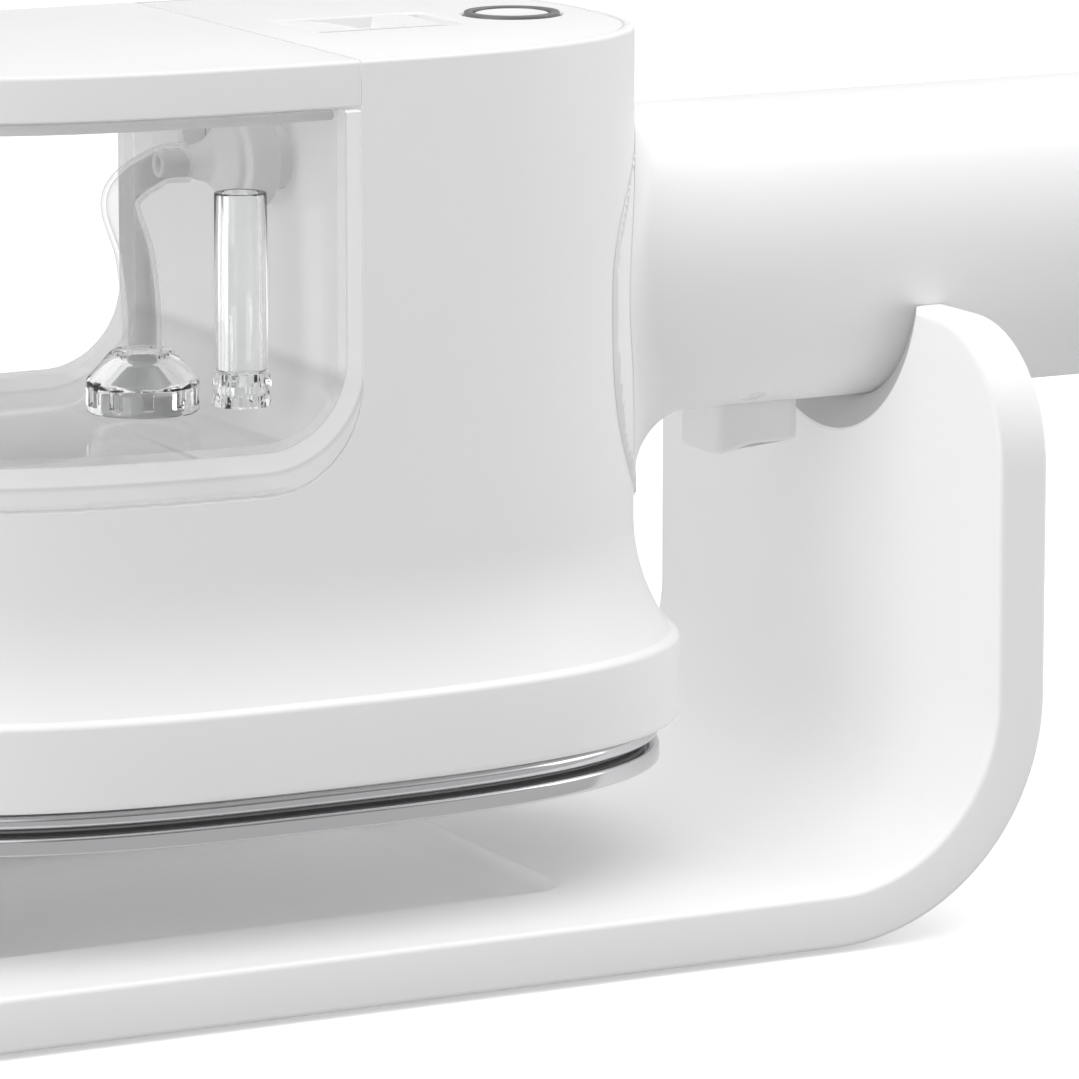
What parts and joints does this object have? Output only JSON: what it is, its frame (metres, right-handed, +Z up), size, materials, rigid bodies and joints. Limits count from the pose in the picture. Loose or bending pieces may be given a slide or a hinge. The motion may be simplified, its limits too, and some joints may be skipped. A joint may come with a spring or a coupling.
{
  "type": "hand-held fabric steamer",
  "caption": "Hand-held steam iron with a clear front water tank, round handle and polished hot plate, parked level on a bent-plate stand with a handle cradle.",
  "frame": {"origin": "under the middle of the whole object, on the surface that the stand's feet rest on", "axes": "+X from the nose of the head to the end of the handle, +Y to the steamer's left as it is held, +Z up"},
  "size_m": [0.237, 0.0954, 0.1214],
  "materials": {
    "white_plastic": "satin moulded white",
    "grey_plastic": "satin light grey",
    "clear_plastic": "clear polished moulding",
    "grey_silicone": "matte silicone",
    "dark_plastic": "satin dark grey",
    "dark_seal": "matte black rubber",
    "polished_metal": "polished",
    "cast_aluminium": "as cast",
    "steel": "plain",
    "brass": "turned",
    "copper": "enamelled winding",
    "board": "solder mask"
  },
  "bodies": {
    "stand": {"stand_plate": "white_plastic", "stand_foot_1": "grey_silicone", "stand_foot_2": "grey_silicone", "stand_foot_3": "grey_silicone", "stand_foot_4": "grey_silicone", "nose_rest": "grey_silicone"},
    "steamer": {"head_shell": "white_plastic", "top_cover": "white_plastic", "handle_shell": "white_plastic", "handle_end_cap": "white_plastic", "heat_shield": "grey_plastic", "pump_bracket": "grey_plastic", "tank_socket": "grey_plastic", "thermal_fuse": "grey_plastic", "indicator_lens": "clear_plastic", "cord_gland": "grey_silicone", "pump_mount_lower": "grey_silicone", "pump_mount_upper": "grey_silicone", "outlet_hose": "grey_silicone", "inlet_hose": "grey_silicone", "button_ring": "dark_plastic", "handle_chassis": "dark_plastic", "power_relay": "dark_plastic", "trigger_switch": "dark_plastic", "button_switch": "dark_plastic", "pump_body": "dark_plastic", "thermostat": "dark_plastic", "sole_seal": "dark_seal", "socket_seal": "dark_seal", "soleplate": "polished_metal", "sole_trim_ring": "polished_metal", "steam_chamber": "cast_aluminium", "heating_element": "steel", "board_fuse": "steel", "trigger_spring": "steel", "button_spring": "steel", "latch_spring": "steel", "shield_screw_1": "steel", "shield_screw_2": "steel", "shield_screw_3": "steel", "shield_screw_4": "steel", "steam_nozzle": "brass", "pump_coil": "copper", "control_board": "board", "button_board": "board"},
    "trigger": {"trigger": "grey_plastic"},
    "power_button": {"power_button": "white_plastic"},
    "release_latch": {"release_latch": "white_plastic"},
    "tank": {"tank_shell": "clear_plastic", "tank_lid": "white_plastic", "lid_gasket": "grey_silicone", "outlet_coupling": "grey_silicone", "filler_plug": "grey_silicone", "suction_tube": "clear_plastic", "suction_filter": "clear_plastic", "filter_weight": "steel", "vent_tube": "clear_plastic", "vent_base": "clear_plastic"}
  },
  "joints": [
    {"name": "steamer_lift", "type": "slide", "parent": "stand", "child": "steamer", "axis": [0, 0, 1], "range_m": [0, 0.08]},
    {"name": "tank_pull", "type": "slide", "parent": "steamer", "child": "tank", "axis": [-1, 0, 0], "range_m": [0, 0.07]},
    {"name": "trigger_press", "type": "slide", "parent": "steamer", "child": "trigger", "axis": [0, 0, 1], "range_m": [0, 0.003], "stiffness_N_per_m": 600, "springref_m": -0.001, "deforming": ["trigger_spring"]},
    {"name": "power_button_press", "type": "slide", "parent": "steamer", "child": "power_button", "axis": [0, 0, -1], "range_m": [0, 0.001], "stiffness_N_per_m": 800, "springref_m": -0.0005, "deforming": ["button_spring"]},
    {"name": "latch_slide", "type": "slide", "parent": "steamer", "child": "release_latch", "axis": [1, 0, 0], "range_m": [0, 0.0025], "stiffness_N_per_m": 500, "springref_m": -0.001, "deforming": ["latch_spring"]}
  ]
}
